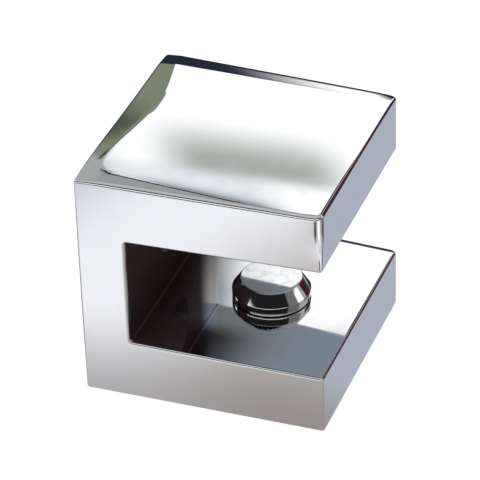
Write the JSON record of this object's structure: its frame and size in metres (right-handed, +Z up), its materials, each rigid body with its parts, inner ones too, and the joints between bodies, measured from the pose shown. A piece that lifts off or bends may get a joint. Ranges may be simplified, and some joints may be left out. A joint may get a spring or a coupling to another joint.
{
  "type": "glass panel clamp",
  "caption": "Small square C-shaped chromed wall clamp for a glass panel, with a round pressure pad raised by a hex-socket screw through its lower jaw.",
  "frame": {"origin": "on the wall face, at the centre of the fixing hole", "axes": "+X out of the fixing hole, away from the wall and out of the slot's mouth; +Y along the glass edge; +Z up, from the pad towards the upper jaw"},
  "size_m": [0.025, 0.0246, 0.0254],
  "materials": {
    "chrome_plate": "polished chrome plate on a zinc die casting",
    "screw_steel": "bright turned steel",
    "pad_chrome": "turned, polished and chrome plated"
  },
  "bodies": {
    "clamp": {"clamp_body": "chrome_plate"},
    "pad": {"pressure_pad": "pad_chrome"},
    "screw": {"clamp_screw": "screw_steel"}
  },
  "joints": [
    {"name": "pad_lift", "type": "slide", "parent": "clamp", "child": "pad", "axis": [0, 0, 1], "range_m": [0, 0.004]},
    {"name": "screw_turn", "type": "hinge", "parent": "pad", "child": "screw", "pos_m": [0.01545, 0, -0.0105], "axis": [0, 0, 1], "range_deg": [0, 1800]}
  ],
  "couplings": [
    {"joint": "screw_turn", "follows": "pad_lift", "rad_per_m": 7854}
  ]
}
